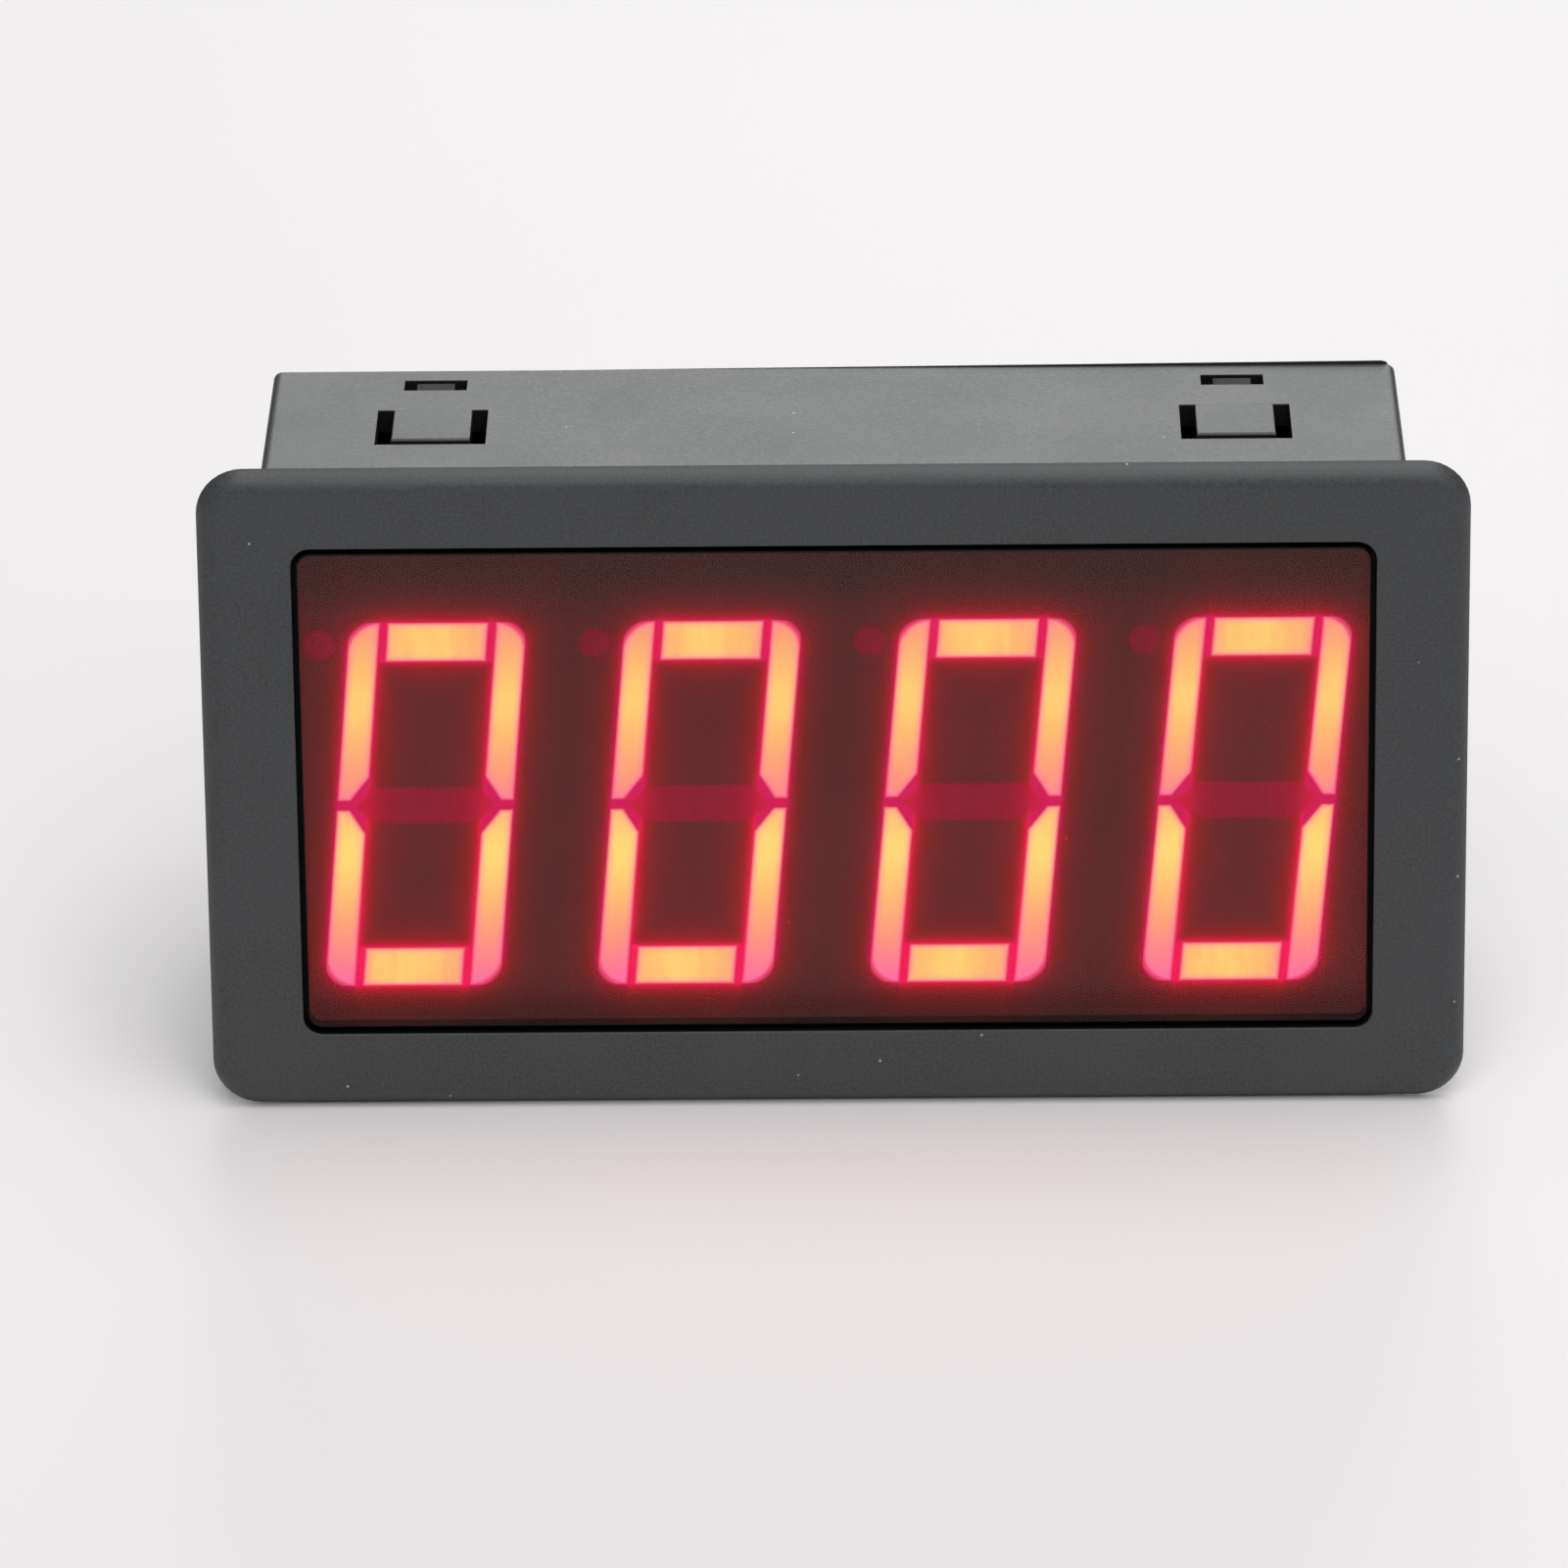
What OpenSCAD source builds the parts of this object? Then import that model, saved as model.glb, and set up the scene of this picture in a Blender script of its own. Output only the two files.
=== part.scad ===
// Panel-mounted four-digit enlarger timer in a snap-in plastic case.
// Origin: centre of the panel plane, which is the rear face of the bezel.
// +X is to the right seen from the front, +Y goes back into the panel, +Z is up.

/* [Bezel] */
// Width of the front bezel
bezel_w = 79.3; // [78:0.1:90]
// Height of the front bezel
bezel_h = 43; // [42:0.5:50]
// Thickness of the bezel in front of the panel
bezel_t = 1; // [0.9:0.1:1.5]
// Radius of the bezel's corners, seen from the front
bezel_corner = 3; // [2:0.5:5]
// Radius of the soft shoulder that runs round the bezel's edge
bezel_edge = 1.6; // [1.5:0.1:2]

/* [Case] */
// Outer width of the case behind the panel
case_w = 71.8; // [71.4:0.1:72.2]
// Outer height of the case behind the panel
case_h = 39; // [38.8:0.1:39.4]
// Depth of the case walls behind the panel plane
case_d = 22.9; // [22.6:0.1:23.5]
// Thickness of the case walls
wall = 1.5; // [1.4:0.1:1.6]
// Radius of the case's long outer edges
case_corner = 0.6; // [0.3:0.1:1]

/* [Window] */
// Width of the opening in the bezel
window_w = 67.6; // [67:0.1:68]
// Height of the opening in the bezel
window_h = 32.9; // [32:0.1:34]
// Corner radius of the opening
window_corner = 1.2; // [0.6:0.1:2]
// Gap at each side between the red filter and the opening
filter_gap = 0.3; // [0.1:0.05:0.5]
// Gap above and below the filter
filter_gap_z = 0.4; // [0.1:0.05:0.5]
// How far the filter's face lies behind the bezel's face
filter_recess = 0.2; // [0.1:0.05:0.8]
// Where the filter's rim ends, behind the panel plane
filter_rim = 1.6; // [1.2:0.1:1.6]

/* [Panel clips] */
// Distance of each clip from the middle of the case
clip_x = 25.4; // [20:0.1:28]
// Width of the clip's tongue
clip_w = 5; // [4:0.1:6]
// Width of the U-shaped slot round the tongue
clip_slot_w = 7; // [6.5:0.1:8]
// Where the slot starts, behind the panel plane
clip_slot_front = 9.4; // [8.6:0.1:10]
// Where the tongue joins the case wall
clip_root = 15.6; // [15.1:0.1:16.1]
// Width of the slot in front of the tongue's free end
clip_front_gap = 0.7; // [0.5:0.1:1]
// How far the tongue's free end stands above the wall
clip_raise = 0.1; // [0:0.05:0.6]

/* [Digits] */
// Height of one digit
digit_h = 24.7; // [22:0.1:25]
// Width of one digit across its upright strokes
digit_w = 11.1; // [10:0.1:11.4]
// Distance from one digit to the next
digit_pitch = 17.25; // [16.5:0.05:17.3]
// Height of the digits' centre line
digit_z = -1.85; // [-2:0.05:-1]
// Lean of the digits, in degrees from upright
digit_lean = 5; // [0:1:8]
// Width of the upright strokes
stroke_w = 1.9; // [1.6:0.1:2.4]
// Height of the top and bottom bars
bar_h = 2.6; // [2:0.1:3]
// Height of the middle bar
middle_bar_h = 2.45; // [2:0.05:2.6]
// Gap between neighbouring segments
segment_gap = 0.5; // [0.2:0.05:0.6]
// Gap between the upper and lower strokes at the waist
waist_gap = 0.65; // [0.4:0.05:0.8]
// Radius of the decimal point
point_r = 1; // [0.6:0.1:1.1]

/* [Terminals] */
// Number of ways in the plug-in terminal block
ways = 5; // [2:1:5]
// Distance between ways
way_pitch = 5.08; // [5:0.01:5.08]
// Middle of the terminal block, across the case
terminal_x = 14; // [13:0.5:15]
// Height of the terminal block's pins
terminal_z = -9; // [-9.5:0.1:-8.8]

/* [Buttons] */
// Place of the first rear button, across the case
button_x = -24; // [-25:0.5:-23]
// Distance between the rear buttons
button_pitch = 10; // [9:0.5:10]
// Height of the row of rear buttons
button_z = 9.5; // [9.2:0.1:9.6]
// Radius of a button's stem
button_r = 1.75; // [1.5:0.05:1.8]

/* [Hidden] */
$fn = 48;

// Overshoot that makes a cut pass clean through a wall
past = 1;

// Depths, measured back from the panel plane
shell_front = filter_rim;
shell_d = 6;
display_board_t = 1;
display_board_y = shell_front + shell_d;
board_y = 9.8;
board_t = 1.4;
parts_y = board_y + board_t;
cover_lip_t = 1.2;
cover_back = case_d + cover_lip_t;

// Inside of the case
seat_y = 0.4;
filter_overlap = 0.2;
inner_w = case_w - 2 * wall;
inner_h = case_h - 2 * wall;
top_z = case_h / 2;

// Display block
shell_w = 68.4;
shell_top = 15.9;
shell_bottom = -17.6;
shell_clearance = 0.1;
locating_rib = [1.2, 6, 2];
locating_rib_x = 15;
segment_d = 1.6;
corner_r = 1.2;
corner_steps = 6;
waist_tip = 0.8;
waist_cut = 1.6;
middle_bar_w = 8.8;
middle_bar_tip = 1.2;
point_place = [-7.4, 10.9];
lean_slope = tan(digit_lean);
chip = [0.6, 0.3, 0.6];
stroke_chip_v = [4.3, 8.6];
bar_chip_u = 1.5;

// Pins that join the display block to the main board
display_pin_r = 0.3;
display_pin_pitch = 7.62;
display_pin_count = 8;
display_pin_rows = [13.4, -15.2];
display_pin_end = 12.2;
pin_hole_r = 0.45;

// Main board
board_w = 68;
board_h = 34;
post_r = 1.5;
post_place = [31, 14.5];

// Parts on the rear of the main board: [x, z] places and [x, y, z] sizes
soic_size = [12.8, 2.3, 7.5];
soic_leads = 10;
soic_pitch = 1.245;
soic_lead = [0.42, 0.3, 1.4];
controller_place = [-9, 0.8];
driver_place = [8, 3.8];
transistor_size = [2.9, 1, 1.3];
transistor_lead = [0.42, 0.3, 0.6];
transistor_lead_sites = [[-0.95, -1], [0.95, -1], [0, 1]];
transistor_places = [for (i = [0:3]) [4 + 4 * i, 10.6]];
chip_part_size = [2, 0.5, 1.25];
chip_cap_w = 0.4;
chip_cap_skin = 0.04;
resistor_places = [for (i = [0:7]) [-21 + 3.2 * i, 15.1]];
ceramic_places = [[0, 2], [15.5, -2.6], [30.5, 3], [30.5, 0]];
relay_size = [12.5, 10, 7.5];
relay_corner = 0.5;
relay_place = [-7.5, -9];
diode_r = 1.2;
diode_l = 4.6;
diode_place = [-29, 2];
diode_wire_r = 0.3;
diode_wire_l = 7;
regulator_size = [6.5, 2.3, 6.1];
regulator_tab = [5.4, 0.6, 1.2];
regulator_lead = [0.8, 0.5, 2.4];
regulator_lead_x = 2.28;
regulator_place = [-22, 1];
capacitor_r = 3.15;
capacitor_h = 7.7;
capacitor_places = [[-26, -8.5], [-18.6, -8.5]];
capacitor_base = [6.6, 0.8, 6.6];
crystal_size = [11.05, 3.5, 4.65];
crystal_corner = 2.2;
crystal_place = [22.5, -1];
buzzer_r = 4.75;
buzzer_h = 5.5;
buzzer_hole_r = 1;
buzzer_place = [22.5, 8.4];

// Push buttons
switch_size = [6, 3.5, 6];
switch_seat = 1.7;
stem_clearance = 0.08;
stem_start = 0.4;
button_proud = 0.8;
button_hole_r = 2.1;

// Rear cover
cover_plate_t = 1.2;
cover_clearance = 0.1;
cover_lip_inset = 0.25;
cover_lip_proud = 0.04;
cover_lip_slope = 38;
cover_tilt = 0.28;
hook_w = 3.2;
hook_t = 0.9;
hook_front = 19.1;
barb_w = 2.4;
barb_front = 19.25;
barb_l = 1.3;
barb_low = 0.4;
barb_high = 0.06;
latch_w = 4;
latch_front = 19.2;
latch_l = 1.85;
vent_w = 1.2;
vent_h = 9;
vent_pitch = 3;
vent_count = 8;
vent_x = -26.5;
vent_z = -9;
sound_hole_r = 0.6;
sound_ring_r = 2.2;
sound_holes = 6;

// Terminal block
header_end = 0.55;
header_l = ways * way_pitch + 2 * header_end;
header_h = 8.6;
header_d = 12;
header_wall = 0.8;
header_floor = 3;
header_pin = 1;
header_pin_back = 21.5;
header_pin_front = 9.2;
header_hole_r = 0.8;
opening_gap = 0.25;
neck_gap = 0.1;
neck_l = header_l - 2 * header_wall - 2 * neck_gap;
neck_h = header_h - 2 * header_wall - 2 * neck_gap;
neck_front = parts_y + header_floor + 0.2;
plug_front = cover_back + 0.3;
plug_back = 34.6;
plug_l = ways * way_pitch + 0.6;
plug_bottom = terminal_z - 5;
plug_top = terminal_z + 8;

// Rising-cage clamp inside each way of the plug
clamp_y = 29.2;
cage_size = [3.8, 3.8, 4.9];
cage_wall = 0.5;
cage_top_t = 1;
cage_floor_t = 0.6;
cage_bottom = plug_bottom + 1.9;
cage_travel = 2;
pocket_gap = 0.1;
strip_w = 2.2;
strip_t = 0.5;
strip_z = cage_bottom + cage_floor_t + 2.7;
strip_front = 21.9;
strip_back = 31.6;
socket_w = 2.2;
socket_hole = 1.3;
socket_front = 15.1;
channel_gap = 0.1;
screw_r = 1.45;
screw_hole_r = 1.5;
head_r = 1.9;
head_t = 1.6;
head_bore_r = 2;
head_z = cage_bottom + cage_size[2] + cage_travel + 0.8;
head_slot = [0.6, 0.7];
screw_tip_z = strip_z + strip_t + 0.05;
entry_w = 3;
entry_h = 2.7;

// Living hinge at the root of each panel clip
bead_r = 0.45;
bead_clearance = 0.03;
bead_y = clip_root + 0.25;
bead_z = top_z - wall / 2;
bead_end_gap = 0.05;
clip_t = 1;
clip_seam = 0.05;
clip_neck_t = 0.5;
clip_neck_l = 0.2;
clip_nose = [0.2, 0.1];

// Extrudes a flat outline in x and z from one depth to another.
module depth_extrude(from, to)
    translate([0, to, 0])
        rotate([90, 0, 0])
            linear_extrude(to - from)
                children();

// Extrudes an outline drawn in y and z along x, centred on x = 0.
module width_extrude(w)
    rotate([90, 0, 90])
        linear_extrude(w, center = true)
            children();

module rounded_rect(w, h, r) {
    square([w - 2 * r, h], center = true);
    square([w, h - 2 * r], center = true);
    for (x = [-1, 1], y = [-1, 1])
        translate([x * (w / 2 - r), y * (h / 2 - r)])
            circle(r);
}

// A box given by its [x, z] centre, its [x, y, z] size and its front face.
module part_box(place, size, front)
    translate([place[0] - size[0] / 2, front, place[1] - size[2] / 2])
        cube(size);

// A cylinder along y at an [x, z] place.
module part_rod(place, r, from, to)
    translate([place[0], to, place[1]])
        rotate([90, 0, 0])
            cylinder(h = to - from, r = r);

// Section of the bezel's rim, from a corner's centre out to its edge: flat, then a shoulder
// that falls to the rear face along part of a circle whose centre lies behind that face.
module rim_section() {
    shoulder_x = bezel_corner - sqrt(pow(bezel_edge, 2) - pow(bezel_edge - bezel_t, 2));
    square([shoulder_x, bezel_t]);
    intersection() {
        translate([shoulder_x, bezel_t - bezel_edge])
            circle(bezel_edge);
        square([bezel_corner + past, bezel_t]);
    }
}

// Bezel plate lying in x and y, with its rounded front edge at the top.
module bezel_plate() {
    half_w = bezel_w / 2 - bezel_corner;
    half_h = bezel_h / 2 - bezel_corner;
    translate([-half_w, -half_h, 0])
        cube([2 * half_w, 2 * half_h, bezel_t]);
    for (x = [-1, 1], y = [-1, 1])
        translate([x * half_w, y * half_h, 0])
            rotate_extrude()
                rim_section();
    for (side = [0, 1]) {
        mirror([0, side, 0])
            translate([0, half_h, 0])
                rotate([90, 0, 90])
                    linear_extrude(2 * half_w, center = true)
                        rim_section();
        mirror([side, 0, 0])
            translate([half_w, 0, 0])
                rotate([90, 0, 0])
                    linear_extrude(2 * half_h, center = true)
                        rim_section();
    }
}

// Places something made for the top left clip at each of the four clips.
module at_clip(right, bottom)
    mirror([0, 0, bottom])
        translate([right == 1 ? clip_x : -clip_x, 0, 0])
            children();

// Slot, hinge groove and latch window that one clip position takes out of the wall.
module clip_cuts() {
    translate([-clip_slot_w / 2, clip_slot_front, top_z - wall - past])
        cube([clip_slot_w, clip_root - clip_slot_front, wall + 2 * past]);
    translate([0, bead_y, bead_z])
        rotate([0, 90, 0])
            cylinder(
                h = clip_w + 2 * bead_end_gap,
                r = bead_r + bead_clearance,
                center = true
            );
    translate([-latch_w / 2, latch_front, top_z - wall - past])
        cube([latch_w, latch_l, wall + 2 * past]);
}

module housing() {
    color("dimgray")
        difference() {
            union() {
                rotate([90, 0, 0])
                    bezel_plate();
                depth_extrude(0, case_d)
                    rounded_rect(case_w, case_h, case_corner);
            }
            depth_extrude(-bezel_t - past, seat_y + past)
                rounded_rect(window_w, window_h, window_corner);
            translate([-inner_w / 2, seat_y, -inner_h / 2])
                cube([inner_w, case_d, inner_h]);
            for (right = [0, 1], bottom = [0, 1])
                at_clip(right, bottom)
                    clip_cuts();
        }
    color("dimgray")
        for (side = [-1, 1])
            translate([
                side * locating_rib_x - locating_rib[0] / 2,
                shell_front,
                inner_h / 2 - locating_rib[2]
            ])
                cube(locating_rib);
}

module filter_window() {
    color([0.45, 0.05, 0.07, 0.6]) {
        depth_extrude(-bezel_t + filter_recess, seat_y + filter_overlap)
            rounded_rect(
                window_w - 2 * filter_gap,
                window_h - 2 * filter_gap_z,
                window_corner - filter_gap
            );
        depth_extrude(seat_y, filter_rim)
            square([inner_w - 2 * shell_clearance, inner_h - 2 * shell_clearance], center = true);
    }
}

// Moves the points of an outline sideways in step with their height.
function leaned(points) = [for (p = points) [p[0] + lean_slope * p[1], p[1]]];

// Points along a quarter circle, starting at the given angle.
function quarter(centre, r, start) = [
    for (k = [0:corner_steps])
        centre + r * [cos(start + 90 * k / corner_steps), sin(start + 90 * k / corner_steps)]
];

// Outline of the upper left stroke: rounded at the outside, cut at the waist.
function stroke_outline() = concat(
    [
        [-digit_w / 2, waist_gap / 2],
        [-digit_w / 2 + waist_tip, waist_gap / 2],
        [-digit_w / 2 + stroke_w, waist_gap / 2 + waist_cut],
        [-digit_w / 2 + stroke_w, digit_h / 2]
    ],
    quarter([-digit_w / 2 + corner_r, digit_h / 2 - corner_r], corner_r, 90)
);

// The four strokes and the top and bottom bars, which glow on a zero.
module lit_outline() {
    bar_half = digit_w / 2 - stroke_w - segment_gap;
    for (x = [-1, 1], z = [-1, 1])
        polygon(leaned([for (p = stroke_outline()) [x * p[0], z * p[1]]]));
    for (z = [-1, 1])
        polygon(leaned([
            [-bar_half, z * digit_h / 2],
            [bar_half, z * digit_h / 2],
            [bar_half, z * (digit_h / 2 - bar_h)],
            [-bar_half, z * (digit_h / 2 - bar_h)]
        ]));
}

// The middle bar and the decimal point, which stay dark on a zero.
module blank_outline() {
    tip = middle_bar_w / 2;
    shoulder = tip - middle_bar_tip;
    half = middle_bar_h / 2;
    polygon(leaned([
        [-tip, 0], [-shoulder, -half], [shoulder, -half],
        [tip, 0], [shoulder, half], [-shoulder, half]
    ]));
    translate([point_place[0] + lean_slope * point_place[1], point_place[1]])
        circle(point_r);
}

function digit_x(number) = (number - 2.5) * digit_pitch;

module at_digit(number)
    translate([digit_x(number), 0, digit_z])
        children();

module digit_segments(number)
    color("orange")
        at_digit(number)
            depth_extrude(shell_front, shell_front + segment_d)
                lit_outline();

module digit_blanks(number)
    color("darkred")
        at_digit(number)
            depth_extrude(shell_front, shell_front + segment_d)
                blank_outline();

module display_shell() {
    color([0.13, 0.12, 0.12])
        difference() {
            translate([-shell_w / 2, shell_front, shell_bottom])
                cube([shell_w, shell_d, shell_top - shell_bottom]);
            for (number = [1:4])
                at_digit(number)
                    depth_extrude(shell_front - past, display_board_y + past) {
                        lit_outline();
                        blank_outline();
                    }
        }
}

module display_pin_places()
    for (z = display_pin_rows, i = [0:display_pin_count - 1])
        translate([(i - (display_pin_count - 1) / 2) * display_pin_pitch, 0, z])
            children();

module display_board() {
    color("darkgreen")
        difference() {
            translate([-shell_w / 2, display_board_y, shell_bottom])
                cube([shell_w, display_board_t, shell_top - shell_bottom]);
            display_pin_places()
                part_rod([0, 0], display_pin_r, display_board_y - past, board_y);
        }
}

// Two light-emitting chips behind each segment and one behind each point.
module led_chips() {
    stroke_u = digit_w / 2 - stroke_w / 2;
    bar_v = digit_h / 2 - bar_h / 2;
    spots = concat(
        [for (u = [-stroke_u, stroke_u], side = [-1, 1], v = stroke_chip_v) [u, side * v]],
        [for (u = [-bar_chip_u, bar_chip_u], v = [-bar_v, 0, bar_v]) [u, v]],
        [point_place]
    );
    color("gold")
        for (number = [1:4], spot = leaned(spots))
            at_digit(number)
                part_box(spot, chip, display_board_y - chip[1]);
}

module display_pins() {
    color("silver")
        display_pin_places()
            part_rod([0, 0], display_pin_r, display_board_y, display_pin_end);
}

module way_places()
    for (way = [1:ways])
        translate([way_x(way), 0, terminal_z])
            children();

function way_x(way) = terminal_x + (way - (ways + 1) / 2) * way_pitch;

module main_board() {
    color("darkgreen")
        difference() {
            translate([-board_w / 2, board_y, -board_h / 2])
                cube([board_w, board_t, board_h]);
            display_pin_places()
                part_rod([0, 0], pin_hole_r, board_y - past, parts_y + past);
            way_places()
                part_rod([0, 0], header_hole_r, board_y - past, parts_y + past);
        }
}

// Small-outline chip: a body with a row of leads along each long side.
module small_outline_chip(place) {
    part_box(place, soic_size, parts_y);
    for (side = [-1, 1], i = [0:soic_leads - 1])
        part_box(
            [
                place[0] + (i - (soic_leads - 1) / 2) * soic_pitch,
                place[1] + side * (soic_size[2] + soic_lead[2]) / 2
            ],
            soic_lead,
            parts_y
        );
}

module microcontroller()
    color("black")
        small_outline_chip(controller_place);

module display_driver()
    color("black")
        small_outline_chip(driver_place);

module digit_transistors() {
    lead_z = (transistor_size[2] + transistor_lead[2]) / 2;
    color("black")
        for (place = transistor_places) {
            part_box(place, transistor_size, parts_y);
            for (site = transistor_lead_sites)
                part_box(place + [site[0], site[1] * lead_z], transistor_lead, parts_y);
        }
}

// Surface-mounted chip part: a slim body with a raised cap at each end.
module chip_part(place) {
    cap = [chip_cap_w, chip_part_size[1] + chip_cap_skin, chip_part_size[2] + 2 * chip_cap_skin];
    part_box(place, chip_part_size, parts_y);
    for (side = [-1, 1])
        part_box(
            place + [side * (chip_part_size[0] - chip_cap_w) / 2, 0],
            cap,
            parts_y
        );
}

module resistors()
    color("black")
        for (place = resistor_places)
            chip_part(place);

module ceramic_capacitors()
    color("tan")
        for (place = ceramic_places)
            chip_part(place);

module relay() {
    color("royalblue")
        depth_extrude(parts_y, parts_y + relay_size[1])
            translate(relay_place)
                rounded_rect(relay_size[0], relay_size[2], relay_corner);
}

module relay_diode() {
    color("black")
        translate([diode_place[0], parts_y + diode_r, diode_place[1]]) {
            cylinder(h = diode_l, r = diode_r, center = true);
            cylinder(h = diode_wire_l, r = diode_wire_r, center = true);
        }
}

module regulator() {
    tab_z = (regulator_size[2] + regulator_tab[2]) / 2;
    lead_z = (regulator_size[2] + regulator_lead[2]) / 2;
    color("black") {
        part_box(regulator_place, regulator_size, parts_y);
        part_box(regulator_place + [0, tab_z], regulator_tab, parts_y);
        for (x = [-regulator_lead_x, regulator_lead_x])
            part_box(regulator_place + [x, -lead_z], regulator_lead, parts_y);
    }
}

module smoothing_capacitors()
    for (place = capacitor_places) {
        color("black")
            part_box(place, capacitor_base, parts_y);
        color("silver")
            part_rod(place, capacitor_r, parts_y, parts_y + capacitor_h);
    }

module crystal() {
    color("silver")
        translate([crystal_place[0], 0, crystal_place[1]])
            depth_extrude(parts_y, parts_y + crystal_size[1])
                rounded_rect(crystal_size[0], crystal_size[2], crystal_corner);
}

module buzzer() {
    color("black")
        difference() {
            part_rod(buzzer_place, buzzer_r, parts_y, parts_y + buzzer_h);
            part_rod(buzzer_place, buzzer_hole_r, parts_y + buzzer_h - past, parts_y + buzzer_h + past);
        }
}

function button_place(number) = [button_x + (number - 1) * button_pitch, button_z];

module button_switches() {
    top_y = parts_y + switch_size[1];
    color("black")
        for (number = [1:3])
            difference() {
                part_box(button_place(number), switch_size, parts_y);
                part_rod(
                    button_place(number),
                    button_r + stem_clearance,
                    top_y - switch_seat,
                    top_y + past
                );
            }
}

module button(number) {
    color("gainsboro")
        part_rod(
            button_place(number),
            button_r,
            parts_y + switch_size[1] - switch_seat + stem_start,
            cover_back + button_proud
        );
}

// Arm that springs into a latch window, with the barb that holds the cover on.
module cover_hook() {
    arm_top = inner_h / 2 - cover_clearance / 2;
    translate([-hook_w / 2, hook_front, arm_top - hook_t])
        cube([hook_w, case_d - hook_front, hook_t]);
    width_extrude(barb_w)
        polygon([
            [barb_front, arm_top - hook_t / 2],
            [barb_front, top_z - barb_low],
            [barb_front + barb_l, top_z - barb_high],
            [barb_front + barb_l, arm_top - hook_t / 2]
        ]);
}

module cover_openings() {
    depth_extrude(0, cover_back + past)
        translate([terminal_x, terminal_z])
            square([header_l + 2 * opening_gap, header_h + 2 * opening_gap], center = true);
    for (number = [1:3])
        part_rod(button_place(number), button_hole_r, 0, cover_back + past);
    for (i = [0:vent_count - 1])
        depth_extrude(0, cover_back + past)
            translate([vent_x + i * vent_pitch, vent_z])
                square([vent_w, vent_h], center = true);
    part_rod(buzzer_place, sound_hole_r, 0, cover_back + past);
    for (i = [1:sound_holes])
        part_rod(
            buzzer_place + sound_ring_r * [cos(i * 360 / sound_holes), sin(i * 360 / sound_holes)],
            sound_hole_r,
            0,
            cover_back + past
        );
}

// Lip of the lid, which lies on the rear edge of the case: bevelled on all four sides.
module cover_lip() {
    lip_w = case_w - 2 * cover_lip_inset;
    lip_h = case_h - cover_lip_inset + cover_lip_proud;
    depth_extrude(case_d, cover_back)
        rounded_rect(lip_w, lip_h, case_corner);
}

// Wedges that bevel the lip from its front edge down to the rear.
module lip_bevels() {
    for (side = [0, 1]) {
        mirror([0, 0, side])
            translate([0, case_d, (case_h - cover_lip_inset + cover_lip_proud) / 2])
                rotate([-cover_lip_slope, 0, 0])
                    translate([-case_w, 0, 0])
                        cube([2 * case_w, case_w, case_h]);
        mirror([side, 0, 0])
            translate([case_w / 2 - cover_lip_inset, case_d, 0])
                rotate([0, 0, cover_lip_slope])
                    translate([0, 0, -case_h])
                        cube([case_w, case_w, 2 * case_h]);
    }
}

module rear_cover() {
    color([0.1, 0.1, 0.1]) {
        difference() {
            union() {
                depth_extrude(case_d - cover_plate_t, case_d)
                    square([inner_w - cover_clearance, inner_h - cover_clearance], center = true);
                translate([0, 0, (cover_lip_inset + cover_lip_proud) / 2])
                    rotate([0, -cover_tilt, 0])
                        difference() {
                            cover_lip();
                            lip_bevels();
                        }
            }
            cover_openings();
        }
        for (x = [-1, 1], z = [-1, 1])
            part_rod([x * post_place[0], z * post_place[1]], post_r, parts_y, case_d);
        for (right = [0, 1], bottom = [0, 1])
            at_clip(right, bottom)
                cover_hook();
    }
}

module terminal_header() {
    color("seagreen")
        difference() {
            part_box([terminal_x, terminal_z], [header_l, header_d, header_h], parts_y);
            part_box(
                [terminal_x, terminal_z],
                [header_l - 2 * header_wall, header_d, header_h - 2 * header_wall],
                parts_y + header_floor
            );
            way_places()
                part_box([0, 0], [header_pin, header_floor + 2 * past, header_pin], parts_y - past);
        }
}

module header_pins() {
    color("silver")
        way_places()
            part_box(
                [0, 0],
                [header_pin, header_pin_back - header_pin_front, header_pin],
                header_pin_front
            );
}

// Pocket, screw bore, wire entry and contact channel of one way of the plug.
module way_cuts() {
    pocket = [cage_size[0] + 2 * pocket_gap, cage_size[1] + 2 * pocket_gap];
    pocket_bottom = cage_bottom - pocket_gap;
    pocket_top = cage_bottom + cage_size[2] + cage_travel + 2 * pocket_gap;
    translate([-pocket[0] / 2, clamp_y - pocket[1] / 2, pocket_bottom])
        cube([pocket[0], pocket[1], pocket_top - pocket_bottom]);
    translate([0, clamp_y, pocket_bottom])
        cylinder(h = plug_top - pocket_bottom, r = screw_hole_r);
    translate([0, clamp_y, head_z])
        cylinder(h = plug_top - head_z + past, r = head_bore_r);
    translate([-entry_w / 2, clamp_y, cage_bottom + cage_floor_t])
        cube([entry_w, plug_back - clamp_y + past, entry_h]);
    translate([-strip_w / 2, strip_front, strip_z])
        cube([strip_w, strip_back - strip_front, strip_t]);
    part_box([0, terminal_z], [socket_w, clamp_y - neck_front, socket_w], neck_front - past);
}

module terminal_plug() {
    color("limegreen")
        difference() {
            union() {
                part_box(
                    [terminal_x, terminal_z],
                    [neck_l, plug_front - neck_front + past, neck_h],
                    neck_front
                );
                translate([terminal_x - plug_l / 2, plug_front, plug_bottom])
                    cube([plug_l, plug_back - plug_front, plug_top - plug_bottom]);
            }
            for (way = [1:ways])
                translate([way_x(way), 0, 0])
                    way_cuts();
        }
}

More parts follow.
